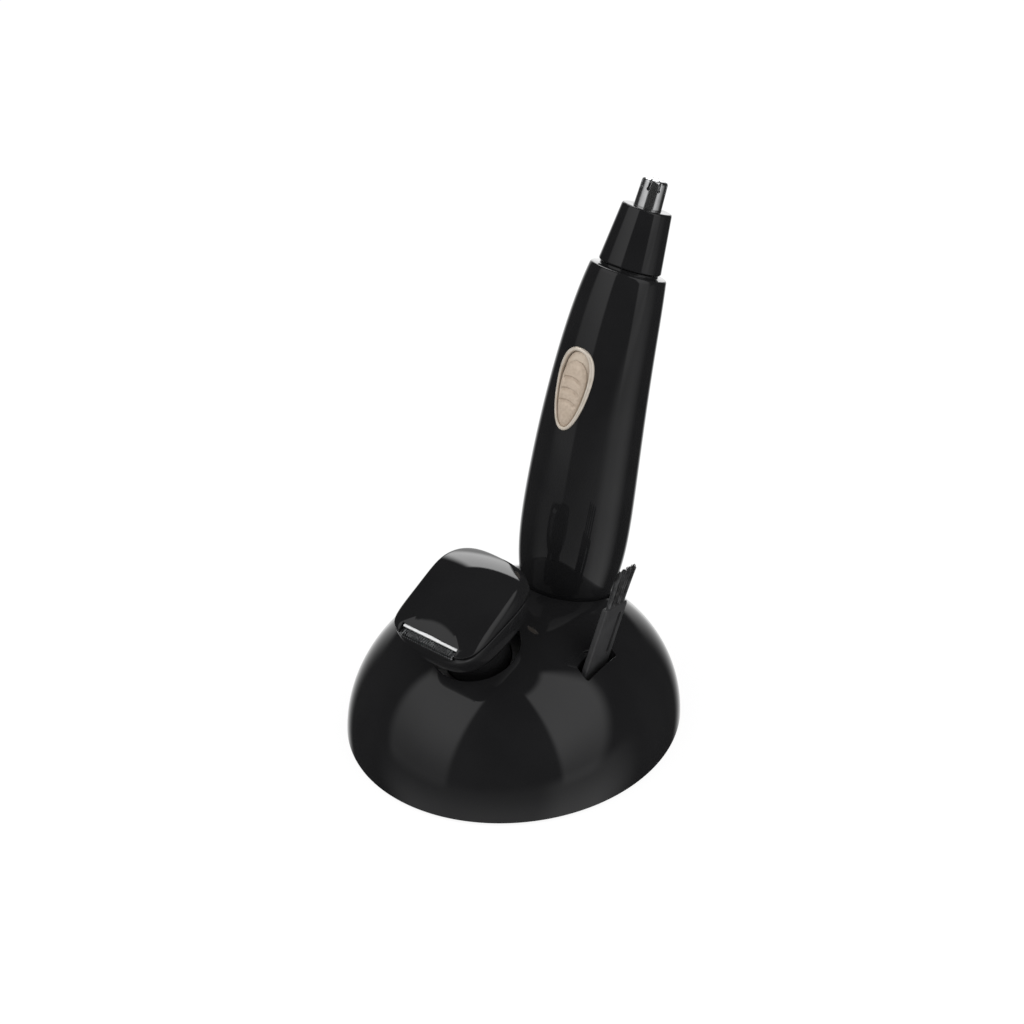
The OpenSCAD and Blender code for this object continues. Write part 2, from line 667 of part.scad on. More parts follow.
module head_lower_shell() {
  color(black) head_frame() difference() {
    union() {
      difference() {
        union() {
          head_bowl(0);
          translate([0, 0, -neck_low]) cylinder(r = neck_r, h = neck_low + bowl_low + 0.6, $fn = MID);
        }
        translate([0, 0, shell_wall]) head_bowl(shell_wall);
        translate([0, 0, -neck_low - 1]) cylinder(r = neck_r - 1.6, h = neck_low + 3, $fn = MID);
      }
      translate([0, pivot_y, bowl_low + 0.8])
        cylinder(r = 2.2, h = lever_level - 0.1 - bowl_low - 0.8, $fn = MID);
      for (p = screw_spots) translate([p[0], p[1], 5])
        cylinder(r = 2, h = rail_level - run_gap - 5, $fn = MID);
    }
    translate([0, 0, -1]) cylinder(r = 3.02, h = 12, $fn = MID);
    translate([0, pivot_y, 5.4]) cylinder(r = 1, h = 10, $fn = SMALL);
    for (p = screw_spots) translate([p[0], p[1], 8]) cylinder(r = 0.85, h = 10, $fn = SMALL);
    blade_window();
  }
}
// blade outline: a plate with a row of teeth along its front edge
module toothed_plate(half, back, tip, count, tooth, guards) {
  pitch = (2 * half - guards) / (count - 1);
  translate([-half, blade_front]) square([2 * half, back - blade_front]);
  for (k = [0 : count - 1]) {
    w = (k == 0 || k == count - 1) ? guards : tooth;
    x = -half + guards / 2 + k * pitch;
    translate([x - w / 2, tip + w / 2]) square([w, blade_front - tip]);
    translate([x, tip + w / 2]) circle(r = w / 2, $fn = SMALL);
  }
}
module screw_holes(r) { for (p = screw_spots) translate(p) circle(r = r, $fn = SMALL); }
module comb_blade() {
  color(steel) head_frame(comb_level) linear_extrude(height = comb_t) difference() {
    toothed_plate(blade_half, -5.6, blade_tip, comb_teeth, 0.36, 0.9);
    translate([-2.1, post_y - 1.2]) square([4.2, 2.4]);
    screw_holes(1);
  }
}
module moving_blade() {
  color(steel) head_frame(moving_level) linear_extrude(height = blade_t) difference() {
    toothed_plate(blade_half - blade_travel, -8.6, blade_tip + 0.4, comb_teeth - 4, 0.36, 0.5);
    translate([-0.86, post_y - 1.2]) square([1.72, 2.4]);
  }
}
module blade_rail() {
  color([0.85, 0.85, 0.83]) head_frame(rail_level) linear_extrude(height = rail_t) difference() {
    translate([-9.4, -14]) square([18.8, 10.6]);
    translate([-2.1, post_y - 1.2]) square([4.2, 2.4]);
    translate([0, pivot_y]) circle(r = 1.02, $fn = SMALL);
    screw_holes(1);
  }
}
module blade_clip() {
  color(steel) head_frame(clip_level) linear_extrude(height = clip_t) difference() {
    translate([-blade_half, blade_front - 0.2]) square([2 * blade_half, 9.2]);
    screw_holes(1);
  }
}
module head_bush() { color(gold) head_frame(2) tube(3, 1.2 + run_gap, 3); }
module head_spindle() {
  color(steel) head_frame() {
    translate([0, 0, -10]) cylinder(r = 1.2, h = 18.3, $fn = MID);
    translate([-2.4, -0.6, -12]) cube([4.8, 1.2, 2.2]);
    translate([0, 0, 8.2]) cylinder(r = 2.2, h = 1, $fn = MID);
    translate([throw, 0, 9.1]) cylinder(r = 0.5, h = 1.9, $fn = SMALL);
  }
}
module drive_lever() {
  fork_in = 2 * throw + 0.62;
  color([0.9, 0.9, 0.88]) head_frame(lever_level) translate([0, pivot_y, 0]) {
    difference() {
      union() {
        cylinder(r = 2.1, h = 1.4, $fn = MID);
        translate([-1, -arm_front, 0]) cube([2, arm_front, 1.4]);
        translate([-fork_in - 1, 1, 0]) cube([2 * fork_in + 2, 1.2, 1.4]);
        for (sx = [-1, 1]) translate([sx * (fork_in + 0.5) - 0.5, 1, 0]) cube([1, arm_back + 1, 1.4]);
      }
      translate([0, 0, -1]) cylinder(r = 1 + run_gap, h = 5, $fn = SMALL);
    }
    translate([0, -arm_front, 1]) cylinder(r = 0.8, h = moving_level + 0.2 - lever_level - 1, $fn = SMALL);
  }
}
module lever_pin() {
  color(steel) head_frame(5.4) translate([0, pivot_y, 0])
    cylinder(r = 1, h = rail_level + rail_t - 5.4, $fn = SMALL);
}
module head_screws() {
  color(steel) head_frame() for (p = screw_spots) translate([p[0], p[1], 0]) {
    translate([0, 0, 9]) cylinder(r = 0.8, h = clip_level + clip_t - 8.9, $fn = SMALL);
    translate([0, 0, clip_level + clip_t]) difference() {
      cylinder(r = screw_head_r, h = screw_head_h, $fn = SMALL);
      for (a = [0, 90]) rotate([0, 0, a]) translate([-1.1, -0.2, 0.4]) cube([2.2, 0.4, 1]);
    }
  }
}

// ================= brush =================
tuft_pitch = 2.5;
module at_tufts() {
  for (k = [0 : tufts - 1]) translate([0, (k - (tufts - 1) / 2) * tuft_pitch, brush_up - 3]) children();
}
module brush_handle() {
  color(black) brush_frame() difference() {
    translate([-brush_t / 2, -brush_w / 2, -brush_deep + 0.8])
      cube([brush_t, brush_w, brush_deep + brush_up - 0.8]);
    translate([-3, 2.2, 3.5]) cube([6, 1.6, 12.9]);
    at_tufts() cylinder(r = 0.55, h = 6, $fn = SMALL);
  }
}
module brush_bristles() {
  color([0.08, 0.08, 0.08]) brush_frame()
    at_tufts() translate([0, 0, 0.05]) cylinder(r1 = 0.4, r2 = 1, h = 14.5, $fn = SMALL);
}

stand_shell();
base_plate();
ballast_plate();
rubber_feet();
base_screws();
body_shell();
inner_chassis();
battery();
positive_contact();
contact_leaves();
motor_can();
motor_magnets();
motor_end_cap();
switch_bezel();
battery_cap();
cap_seal();
battery_spring();
switch_knob();
switch_slider();
armature();
drive_coupler();
cutter_spindle();
cutter_spring();
inner_cutter();
nose_housing();
nose_bush();
outer_cutter();
head_top_shell();
head_lower_shell();
comb_blade();
blade_rail();
blade_clip();
head_spindle();
head_bush();
lever_pin();
head_screws();
moving_blade();
drive_lever();
brush_handle();
brush_bristles();
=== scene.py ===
import json
import math
import random

import bmesh
import bpy
import numpy as np
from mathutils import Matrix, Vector
from mathutils.bvhtree import BVHTree
from mathutils.interpolate import poly_3d_calc


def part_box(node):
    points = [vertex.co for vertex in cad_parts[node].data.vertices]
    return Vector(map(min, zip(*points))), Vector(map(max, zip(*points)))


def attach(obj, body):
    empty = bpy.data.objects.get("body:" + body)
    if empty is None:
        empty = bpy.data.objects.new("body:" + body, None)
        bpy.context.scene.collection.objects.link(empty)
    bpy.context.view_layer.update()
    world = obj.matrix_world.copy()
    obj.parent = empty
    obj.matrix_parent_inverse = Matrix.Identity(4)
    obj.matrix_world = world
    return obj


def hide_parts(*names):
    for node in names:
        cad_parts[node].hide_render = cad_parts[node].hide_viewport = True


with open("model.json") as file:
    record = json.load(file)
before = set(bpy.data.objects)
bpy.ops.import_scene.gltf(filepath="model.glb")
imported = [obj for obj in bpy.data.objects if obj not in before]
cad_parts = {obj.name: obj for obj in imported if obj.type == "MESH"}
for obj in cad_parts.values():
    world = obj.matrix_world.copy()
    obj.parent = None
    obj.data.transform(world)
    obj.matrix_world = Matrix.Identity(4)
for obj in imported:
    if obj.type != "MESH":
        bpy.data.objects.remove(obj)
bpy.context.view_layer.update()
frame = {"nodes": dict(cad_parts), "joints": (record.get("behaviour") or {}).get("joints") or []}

MM = 0.001
nodes = frame["nodes"]
joints = {j["name"]: j for j in frame["joints"]}


# ---------- places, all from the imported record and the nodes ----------
def unit(v):
    v = np.asarray(v, float)
    return v / np.linalg.norm(v)


class Place:
    """A local frame in millimetres: where a piece's own axes sit in the row frame."""

    def __init__(self, origin, z, x=(1, 0, 0)):
        self.o = np.asarray(origin, float)
        self.z = unit(z)
        x = np.asarray(x, float)
        self.x = unit(x - self.z * (x @ self.z))
        self.y = np.cross(self.z, self.x)

    def out(self, pts):
        pts = np.asarray(pts, float)
        return self.o + pts[:, :1] * self.x + pts[:, 1:2] * self.y + pts[:, 2:3] * self.z

    def box(self, node):
        """A node's lowest and highest corners along this frame's axes."""
        co = np.array([v.co for v in nodes[node].data.vertices], float) / MM - self.o
        q = np.c_[co @ self.x, co @ self.y, co @ self.z]
        return q.min(0), q.max(0)


def joint_pos(name):
    return np.array(joints[name]["pos_m"], float) / MM


low = Place(joint_pos("battery_cap_twist"), joints["battery_cap_twist"]["axis"])
top = Place(joint_pos("nose_head_twist"), joints["nose_head_twist"]["axis"])
head = Place(joint_pos("head_spindle_spin"), joints["spare_head_lift"]["axis"],
             joints["blade_slide"]["axis"])
brush_z = unit(joints["brush_lift"]["axis"])
brush = Place((0, 0, 0), brush_z, np.cross((0, 1, 0), brush_z))
lo, hi = brush.box("brush_handle")
brush_mid = (lo + hi) / 2

# the body's curve: how far it leans and how thick it is at w along it
BODY_LEN = 110
lean_low = math.degrees(math.atan2(low.z[1], low.z[2]))
lean_top = math.degrees(math.atan2(top.z[1], top.z[2]))


def lean(w):
    return math.radians(lean_low + (lean_top - lean_low) * max(0, (w - 25) / 85) ** 2)


def body_r(w):
    if w < 42:
        return 14.72 - 2.73 * ((42 - w) / 24) ** 2.63
    return 14.72 - 3.5 * ((w - 42) / 68) ** 1.5 - 0.76 * ((w - 42) / 68) ** 8


SPINE_STEPS = 4
spine_pts = [np.array(low.o)]
for k in range(BODY_LEN * SPINE_STEPS):
    s = lean((k + 0.5) / SPINE_STEPS)
    spine_pts.append(spine_pts[-1] + np.array([0, math.sin(s), math.cos(s)]) / SPINE_STEPS)


def body_place(w, extra=0.0, turn=0.0):
    p = spine_pts[int(w * SPINE_STEPS)]
    q = spine_pts[min(int(w * SPINE_STEPS) + 1, len(spine_pts) - 1)]
    f = w * SPINE_STEPS - int(w * SPINE_STEPS)
    s = lean(w) + extra
    z = np.array([0, math.sin(s), math.cos(s)])
    y = np.array([0, math.cos(s), -math.sin(s)])
    x = np.array([1, 0, 0]) * math.cos(turn) + y * math.sin(turn)
    return Place(p + (q - p) * f, z, x)


# ---------- mesh helpers ----------
def loft_faces(rows, cols, wrap_rows=False):
    faces = []
    for r in range(rows if wrap_rows else rows - 1):
        a, b = r * cols, ((r + 1) % rows) * cols
        for c in range(cols):
            d = (c + 1) % cols
            faces.append((a + c, a + d, b + d, b + c))
    return faces


def make_mesh(name, pts, faces):
    mesh = bpy.data.meshes.new(name)
    mesh.from_pydata((np.asarray(pts, float) * MM).tolist(), [], faces)
    bm = bmesh.new()
    bm.from_mesh(mesh)
    bmesh.ops.recalc_face_normals(bm, faces=bm.faces)
    bm.to_mesh(mesh)
    bm.free()
    mesh.update()
    return mesh


def make_object(name, mesh):
    obj = bpy.data.objects.new(name, mesh)
    bpy.context.scene.collection.objects.link(obj)
    return obj


def loft(name, rings, wrap=False):
    """A closed skin through rings of points: capped at both ends, or joined end to end."""
    rings = [np.asarray(r, float) for r in rings]
    cols = len(rings[0])
    pts = np.vstack(rings)
    faces = loft_faces(len(rings), cols, wrap)
    if not wrap:
        for first, ring in ((0, rings[0]), ((len(rings) - 1) * cols, rings[-1])):
            pts = np.vstack([pts, ring.mean(0)])
            faces += [(first + c, first + (c + 1) % cols, len(pts) - 1) for c in range(cols)]
    return make_object(name, make_mesh(name, pts, faces))


def circle(r, n):
    a = np.arange(n) * 2 * math.pi / n
    return np.c_[r * np.cos(a), r * np.sin(a)]


def lathe(name, place, profile, n=128, wrap=True, at=(0, 0)):
    """A solid of revolution round a place's Z axis through (radius, height) points."""
    rings = [place.out(np.c_[circle(r, n) + np.array(at), np.full(n, z)]) for r, z in profile]
    return loft(name, rings, wrap)


def rounded(corners, steps=4):
    """A closed outline with each corner (a, b, radius) rounded."""
    out = []
    n = len(corners)
    for i, (a, b, r) in enumerate(corners):
        p = np.array([a, b], float)
        if r <= 0:
            out.append(p)
            continue
        u = unit(np.array(corners[i - 1][:2], float) - p)
        v = unit(np.array(corners[(i + 1) % n][:2], float) - p)
        for k in range(steps + 1):
            f = k / steps
            out.append(p + u * r * (1 - f) ** 2 + v * r * f ** 2)
    return [tuple(q) for q in out]


def block(name, place, lo, hi):
    x0, y0, z0 = lo
    x1, y1, z1 = hi
    ring = lambda z: [(x0, y0, z), (x1, y0, z), (x1, y1, z), (x0, y1, z)]
    pts = place.out(ring(z0) + ring(z1))
    faces = [(0, 1, 2, 3), (4, 5, 6, 7)] + [(i, (i + 1) % 4, 4 + (i + 1) % 4, 4 + i) for i in range(4)]
    return make_object(name, make_mesh(name, pts, faces))


def joined(name, parts):
    """One object from several, the parts removed."""
    bm = bmesh.new()
    for p in parts:
        bm.from_mesh(p.data)
        drop(p)
    mesh = bpy.data.meshes.new(name)
    bm.to_mesh(mesh)
    bm.free()
    return make_object(name, mesh)


def drop(obj):
    mesh = obj.data
    bpy.data.objects.remove(obj)
    bpy.data.meshes.remove(mesh)


def boolean(obj, other):
    """Cuts other out of obj, and removes other."""
    mod = obj.modifiers.new("cut", "BOOLEAN")
    mod.operation = "DIFFERENCE"
    mod.solver = "MANIFOLD"
    mod.object = other
    dg = bpy.context.evaluated_depsgraph_get()
    mesh = bpy.data.meshes.new_from_object(obj.evaluated_get(dg))
    obj.modifiers.clear()
    old = obj.data
    obj.data = mesh
    bpy.data.meshes.remove(old)
    drop(other)


class Skin:
    """Remembers the smooth normals of an uncut surface, to give them back after cutting."""

    def __init__(self, obj):
        mesh = obj.data
        self.co = [v.co.copy() for v in mesh.vertices]
        self.no = [v.normal.copy() for v in mesh.vertices]
        self.polys = [tuple(p.vertices) for p in mesh.polygons]
        self.tree = BVHTree.FromPolygons(self.co, self.polys)

    def at(self, co):
        hit, _, index, dist = self.tree.find_nearest(co)
        if hit is None or dist > 2e-6:
            return None
        poly = self.polys[index]
        weights = poly_3d_calc([self.co[i] for i in poly], hit)
        n = Vector((0, 0, 0))
        for i, w in zip(poly, weights):
            n += self.no[i] * w
        return n.normalized()


def shade(obj, angle=32, skins=()):
    """Smooth shading with sharp edges by angle; points on a remembered skin get its normals."""
    mesh = obj.data
    mesh.shade_smooth()
    mesh.set_sharp_from_angle(angle=math.radians(angle))
    if not skins:
        return obj
    found = [[s.at(v.co) for s in skins] for v in mesh.vertices]
    zero = Vector((0, 0, 0))
    normals = [zero] * len(mesh.loops)
    for p in mesh.polygons:
        for li in p.loop_indices:
            for n in found[mesh.loops[li].vertex_index]:
                if n is not None and n.dot(p.normal) > 0.94:
                    normals[li] = n
                    break
    mesh.normals_split_custom_set(normals)
    return obj


def finish_piece(obj, material, body, slot_name, *stands_for):
    obj.data.materials.clear()
    obj.data.materials.append(material)
    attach(obj, body)
    if stands_for:
        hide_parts(*stands_for)
    return obj


# ---------- materials ----------
class Nodes:
    """Short calls for building a node tree."""

    def __init__(self, tree):
        self.t = tree
        tree.nodes.clear()

    def add(self, kind):
        return self.t.nodes.new(kind)

    def put(self, socket, value):
        if isinstance(value, bpy.types.NodeSocket):
            self.t.links.new(value, socket)
        else:
            socket.default_value = value

    def math(self, op, a, b=0.0):
        n = self.add("ShaderNodeMath")
        n.operation = op
        self.put(n.inputs[0], a)
        self.put(n.inputs[1], b)
        return n.outputs[0]

    def smooth(self, x, a, b, to=(0.0, 1.0)):
        n = self.add("ShaderNodeMapRange")
        n.interpolation_type = "SMOOTHSTEP"
        self.put(n.inputs["Value"], x)
        n.inputs["From Min"].default_value = a
        n.inputs["From Max"].default_value = b
        n.inputs["To Min"].default_value = to[0]
        n.inputs["To Max"].default_value = to[1]
        return n.outputs["Result"]

    def dot(self, v, w):
        n = self.add("ShaderNodeVectorMath")
        n.operation = "DOT_PRODUCT"
        self.put(n.inputs[0], v)
        self.put(n.inputs[1], w)
        return n.outputs["Value"]

    def noise(self, scale, detail=3.0, stretch=None):
        co = self.add("ShaderNodeTexCoord").outputs["Object"]
        if stretch:
            m = self.add("ShaderNodeMapping")
            m.vector_type = "TEXTURE"
            self.put(m.inputs["Vector"], co)
            m.inputs["Scale"].default_value = stretch
            co = m.outputs["Vector"]
        n = self.add("ShaderNodeTexNoise")
        self.put(n.inputs["Vector"], co)
        n.inputs["Scale"].default_value = scale
        n.inputs["Detail"].default_value = detail
        return n.outputs[0]

    def tint(self, x, dark, light):
        n = self.add("ShaderNodeMix")
        n.data_type = "RGBA"
        self.put(n.inputs["Factor"], x)
        n.inputs["A"].default_value = (*dark, 1)
        n.inputs["B"].default_value = (*light, 1)
        return n.outputs["Result"]


def material(name, dark, light=None, rough=(0.3, 0.4), metal=0.0, grain=400, bump=0.0, stretch=None,
             edge=0.0, coat=0.0, aniso=0.0):
    """A procedural finish: noise drives the colour, the roughness and a fine bump; edge rounds the corners."""
    mat = bpy.data.materials.new(name)
    mat.use_nodes = True
    g = Nodes(mat.node_tree)
    out = g.add("ShaderNodeOutputMaterial")
    b = g.add("ShaderNodeBsdfPrincipled")
    g.put(out.inputs["Surface"], b.outputs[0])
    n = g.noise(grain, 4.0, stretch)
    colour = g.tint(g.smooth(n, 0.3, 0.7), dark, light or dark)
    g.put(b.inputs["Base Color"], colour)
    g.put(b.inputs["Roughness"], g.smooth(g.noise(grain * 0.21, 5.0, stretch), 0.3, 0.7, rough))
    b.inputs["Metallic"].default_value = metal
    b.inputs["Coat Weight"].default_value = coat
    b.inputs["Coat Roughness"].default_value = 0.05
    b.inputs["Anisotropic"].default_value = aniso
    normal = None
    if edge:
        r = g.add("ShaderNodeBevel")
        r.samples = 6
        r.inputs["Radius"].default_value = edge * MM
        normal = r.outputs[0]
    if bump:
        m = g.add("ShaderNodeBump")
        m.inputs["Strength"].default_value = bump
        m.inputs["Distance"].default_value = 0.00005
        g.put(m.inputs["Height"], n)
        if normal:
            g.put(m.inputs["Normal"], normal)
        normal = m.outputs[0]
    if normal:
        g.put(b.inputs["Normal"], normal)
    return mat


gloss = material("gloss_black", (0.0085, 0.0085, 0.009), (0.0105, 0.0105, 0.011), (0.035, 0.06),
                 grain=60, edge=0.22)
satin = material("satin_black", (0.012, 0.012, 0.0125), (0.018, 0.018, 0.019), (0.24, 0.34),
                 grain=900, bump=0.25, edge=0.15)
grip_satin = material("grip_satin", (0.026, 0.026, 0.027), (0.034, 0.034, 0.035), (0.34, 0.4),
                      grain=300, edge=0.2)
dark_satin = material("dark_satin", (0.012, 0.012, 0.012), (0.02, 0.02, 0.02), (0.5, 0.62),
                      grain=1500, bump=0.5)
rubber = material("rubber", (0.014, 0.014, 0.014), (0.022, 0.022, 0.022), (0.75, 0.9), grain=2500,
                  bump=0.8)
hair = material("bristle", (0.01, 0.01, 0.01), (0.06, 0.06, 0.062), (0.28, 0.4), grain=500)
steel = material("polished_steel", (0.8, 0.805, 0.81), (0.88, 0.885, 0.89), (0.14, 0.22), 1.0, 700,
                 0.08, edge=0.06)
bright = material("bright_steel", (0.78, 0.785, 0.79), (0.86, 0.865, 0.87), (0.3, 0.4), 0.35, 700, 0.05)
plate = material("ground_steel", (0.42, 0.43, 0.44), (0.6, 0.61, 0.62), (0.25, 0.38), 1.0, 900,
                 0.25, (1, 8, 1), aniso=0.4)
teeth_steel = material("teeth_steel", (0.2, 0.205, 0.21), (0.3, 0.305, 0.31), (0.22, 0.3), 1.0, 900,
                       0.1, edge=0.04)
zinc = material("zinc_plate", (0.22, 0.22, 0.23), (0.4, 0.4, 0.42), (0.4, 0.6), 1.0, 220, 0.4)
can = material("nickel_can", (0.36, 0.35, 0.34), (0.5, 0.49, 0.47), (0.25, 0.4), 1.0, 600, 0.2, (1, 1, 9))
ferrite = material("ferrite", (0.05, 0.05, 0.055), (0.1, 0.1, 0.11), (0.6, 0.8), 0.0, 900, 0.7)
copper = material("copper", (0.5, 0.2, 0.09), (0.72, 0.34, 0.17), (0.3, 0.45), 1.0, 1200, 0.5, (6, 6, 1))
nylon = material("nylon", (0.66, 0.65, 0.6), (0.74, 0.73, 0.69), (0.45, 0.6), 0.0, 700, 0.3)
bronze = material("sintered_bronze", (0.36, 0.22, 0.1), (0.55, 0.36, 0.18), (0.4, 0.6), 1.0, 1800, 0.7)
brass = material("spring_brass", (0.62, 0.42, 0.17), (0.76, 0.55, 0.26), (0.25, 0.4), 1.0, 900, 0.2)
jacket = material("cell_jacket", (0.03, 0.09, 0.06), (0.05, 0.13, 0.09), (0.2, 0.3), 0.0, 300, 0.1,
                  coat=0.5)
rim_gold = material("champagne_rim", (0.64, 0.57, 0.48), (0.72, 0.65, 0.57), (0.16, 0.24), 0.45,
                    500, 0.05)
deck_gold = material("champagne_deck", (0.5, 0.42, 0.34), (0.56, 0.48, 0.39), (0.35, 0.45), 0.2, 900, 0.2)
knob_gold = material("champagne_knob", (0.45, 0.365, 0.285), (0.52, 0.43, 0.345), (0.38, 0.5), 0.25,
                     1400, 0.3)

# ---------- stand ----------
box_lo, box_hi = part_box("stand_shell")
foot_z = box_lo.z / MM
DOME_RISE = 37.6
WALL = 2.2
dome = np.array([(box_hi.x - box_lo.x) / 2 / MM, (box_hi.y - box_lo.y) / 2 / MM, DOME_RISE])
world = Place((0, 0, foot_z), (0, 0, 1))
facet = Place((0, 0, foot_z), (0, math.sin(math.radians(15)), math.cos(math.radians(15))))
FACET_REACH = 35.55


def half_dome(name, size, n, low_z, rows):
    """The upper half of an ellipsoid, its rim carried down to low_z."""
    rings = [np.c_[circle(1, n) * size[:2], np.full(n, low_z)]]
    for k in range(rows):
        a = math.pi / 2 * k / rows
        rings.append(np.c_[circle(1, n) * size[:2] * math.cos(a), np.full(n, size[2] * math.sin(a))])
    rings.append(np.c_[circle(1, n) * size[:2] * 0.004, np.full(n, size[2])])
    return loft(name, [world.out(r) for r in rings])


def cylinder(name, place, r, z0, z1, n=96, r2=None, at=(0, 0)):
    return lathe(name, place, [(r, z0), (r2 or r, z1)], n, False, at)


def rounded_bar(name, place, mid, half, radius, z0, z1):
    hx, hy = half
    outline = rounded([(-hx, -hy, radius), (hx, -hy, radius), (hx, hy, radius), (-hx, hy, radius)])
    return loft(name, [place.out([(mid[0] + x, mid[1] + y, z) for x, y in outline]) for z in (z0, z1)])


CAP_R, CAP_H = 12.0, 18.0
SOCKET_R, MOUTH_R = CAP_R + 0.35, 13.5
WELL_R, WELL_DEEP, NECK_R, NECK_LOW = 12.2, 6.5, 8.8, 14.0
slot_mid = brush_mid + np.array([0.3, -0.55, 0])
brush_floor = lo[2] - 0.8
BOSSES = [(0, -37), (-31, 17), (31, 17)]

outer = half_dome("stand_outer", dome, 256, 0, 72)
dome_skin = Skin(outer)
boolean(outer, block("facet_cut", facet, (-80, -80, FACET_REACH), (80, 80, 80)))
cavity = half_dome("stand_cavity", dome - WALL, 128, -3, 36)
boolean(cavity, block("facet_inner", facet, (-80, -80, FACET_REACH - WALL), (80, 80, 80)))
for tube in (
    cylinder("tube", low, SOCKET_R + 1.6, -2.4, 60),
    cylinder("tube", low, MOUTH_R + 1.6, 13, 60),
    cylinder("tube", head, WELL_R + 1.6, -WELL_DEEP - 1.8, 40),
    cylinder("tube", head, NECK_R + 2, -NECK_LOW - 2.3, 6),
    rounded_bar("tube", brush, slot_mid, (3.75, 8.2), 1.6, brush_floor - 1.6, brush_floor + 60),
    *[cylinder("tube", world, 3, 2.2, 60, 48, at=b) for b in BOSSES],
):
    boolean(cavity, tube)
boolean(outer, cavity)
for well in (
    cylinder("well", low, SOCKET_R, -0.6, 60, 160),
    lathe("well", low, [(SOCKET_R - 1, 14.6), (SOCKET_R, 15), (MOUTH_R, 19), (MOUTH_R, 60)], 160, False),
    cylinder("well", head, WELL_R, -WELL_DEEP, 40, 160),
    cylinder("well", head, NECK_R + 0.3, -NECK_LOW - 0.5, 6, 96),
    rounded_bar("well", brush, slot_mid, (2.25, 6.7), 0.9, brush_floor, brush_floor + 60),
    *[cylinder("well", world, 1.3, -3, 12, 32, at=b) for b in BOSSES],
):
    boolean(outer, well)
outer.name = "stand_dome"
shade(outer, 32, [dome_skin])
finish_piece(outer, gloss, "stand", "gloss_black", "stand_shell")
outer.data.materials.append(dark_satin)
for poly in outer.data.polygons:
    q = np.array(poly.center) / MM - head.o
    if math.hypot(q @ head.x, q @ head.y) < WELL_R + 0.02 and -NECK_LOW - 1 < q @ head.z:
        poly.material_index = 1

# ---------- trimmer body ----------
SEAM = CAP_H
top_r = body_r(BODY_LEN)


def body_ring(w, inset, n):
    p = body_place(w)
    return p.out(np.c_[circle(body_r(w) - inset, n), np.zeros(n)])


def top_ring(r, t, n):
    return top.out(np.c_[circle(r, n), np.full(n, t)])


def low_ring(r, z, n):
    return low.out(np.c_[circle(r, n), np.full(n, z)])


N_BODY = 160
rings = [body_ring(w, 0, N_BODY) for w in np.linspace(SEAM + 0.3, BODY_LEN - 0.45, 120)]
rings += [top_ring(top_r - 0.45 * (1 - math.cos(a)), -0.45 + 0.45 * math.sin(a), N_BODY)
          for a in (0.5, 0.9, 1.25, 1.57)]
# the ledge, the neck and the throat, then back down inside
NECK_STEPS = ((8.25, 0), (8.06, 0.06), (8, 0.2), (8, 0.7), (6.4, 0.7), (6.4, 4.5), (6.3, 4.6), (4.3, 4.6),
              (4.3, -3.2))
FOOT_STEPS = ((8.9, 25), (8.9, 12.4), (10.3, 12.4), (10.3, SEAM), (11.6, SEAM), (11.9, SEAM + 0.05))
rings += [top_ring(r, t, N_BODY) for r, t in NECK_STEPS]
rings += [body_ring(w, 1.8, N_BODY) for w in np.linspace(BODY_LEN - 3.3, SEAM + 8, 30)]
rings += [low_ring(r, z, N_BODY) for r, z in FOOT_STEPS]
body = loft("trimmer_body", rings, wrap=True)
body_skin = Skin(body)

# the switch sits in an egg-shaped opening on the front
SWITCH_AT = 77.8
RIM_W, RIM_L = 5.2, 11.5
RIM_FOOT, DECK = -2.15, -0.45
slope = math.atan2(body_r(SWITCH_AT - 8) - body_r(SWITCH_AT + 8), 16)
switch = body_place(SWITCH_AT, slope, math.radians(-5))
switch_r = body_r(SWITCH_AT)
FRONT_CURVE = 250.0


def bend(v, q):
    return math.copysign(abs(v) ** (2 / q), v)


def egg(half_w, half_l, n, mid=0.0):
    pts = []
    for k in range(n):
        a = 2 * math.pi * k / n
        up = bend(math.sin(a), 2.3)
        pts.append((half_w * (1 + 0.25 * up) * bend(math.cos(a), 2.3), mid + half_l * up))
    return np.array(pts)


def on_front(xz, h):
    """Points over the switch field, h above the body's front."""
    xz = np.asarray(xz, float)
    r = switch_r + np.asarray(h, float) - xz[:, 1] ** 2 / (2 * FRONT_CURVE)
    return switch.out(np.c_[xz[:, 0], -np.sqrt(r ** 2 - xz[:, 0] ** 2), xz[:, 1]])


N_EGG = 160
outline = egg(RIM_W + 0.03, RIM_L + 0.03, N_EGG)
opening = loft("opening", [switch.out(np.c_[outline[:, 0], np.full(N_EGG, y), outline[:, 1]])
                           for y in (-20, -8)])
boolean(body, opening)
shade(body, 32, [body_skin])
finish_piece(body, gloss, "trimmer", "gloss_black", "body_shell")

rings = []
for d, h in ((0, RIM_FOOT), (0, 0.12), (0.05, 0.34), (0.16, 0.5), (0.3, 0.56), (0.72, 0.56), (0.84, 0.5),
             (0.93, 0.34), (0.97, 0.1), (1.0, -0.1), (1.0, -1.3)):
    rings.append(on_front(egg(RIM_W - d, RIM_L - d, N_EGG), h))
rings.append(on_front(egg(RIM_W - 1.6, RIM_L - 1.6, N_EGG), -1.3))
rings.append(on_front(egg(RIM_W - 1.6, RIM_L - 1.6, N_EGG), RIM_FOOT))
rim = loft("switch_rim", rings, wrap=True)
shade(rim, 40)
finish_piece(rim, rim_gold, "trimmer", "champagne")
DECK_STEPS = ((4.6, DECK), (3.0, DECK), (1.5, DECK), (1.3, DECK - 0.15), (1.25, -1.25), (1.03, -1.25),
              (1.03, RIM_FOOT), (3.0, RIM_FOOT), (4.6, RIM_FOOT))
deck = loft("switch_deck", [on_front(egg(RIM_W - d, RIM_L - d, N_EGG), h) for d, h in DECK_STEPS])
SLIDE = joints["switch_slide"]["range_m"][1] / MM
